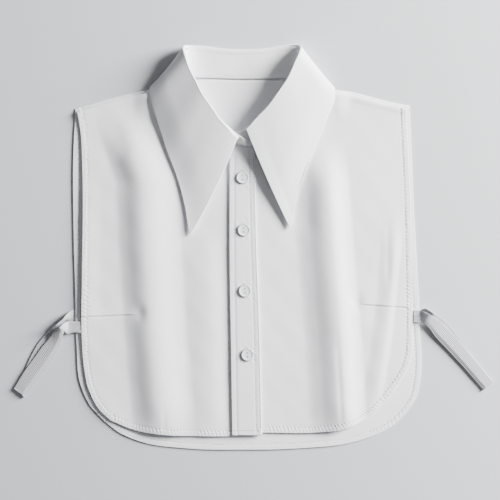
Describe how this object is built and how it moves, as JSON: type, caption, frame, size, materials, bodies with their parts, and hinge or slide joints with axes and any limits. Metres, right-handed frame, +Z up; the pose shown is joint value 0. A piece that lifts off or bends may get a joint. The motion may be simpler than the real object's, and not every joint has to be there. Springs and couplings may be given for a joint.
{
  "type": "detachable shirt collar",
  "caption": "Long-pointed white shirt collar on a sleeveless buttoned bib with elastic underarm loops, laid flat with its front up.",
  "frame": {"origin": "on the surface it lies on, under the centre-front neck point", "axes": "+Z up, out of the front as it lies; +Y towards the collar; +X towards the wearer's left"},
  "size_m": [0.4786, 0.4044, 0.0202],
  "materials": {
    "poplin": "plain-woven white cotton poplin, matt with a faint sheen",
    "collar_poplin": "interfaced white cotton poplin, smooth and matt",
    "elastic": "ribbed knitted elastic, white, matt",
    "button": "moulded white resin, soft gloss"
  },
  "bodies": {
    "root": {"back_panel": "poplin", "front_right": "poplin", "front_left": "poplin", "placket": "poplin", "collar_stand": "collar_poplin", "collar_leaf": "collar_poplin", "button_1": "button", "button_2": "button", "button_3": "button", "button_4": "button", "strap_right": "elastic", "strap_left": "elastic"}
  },
  "joints": []
}
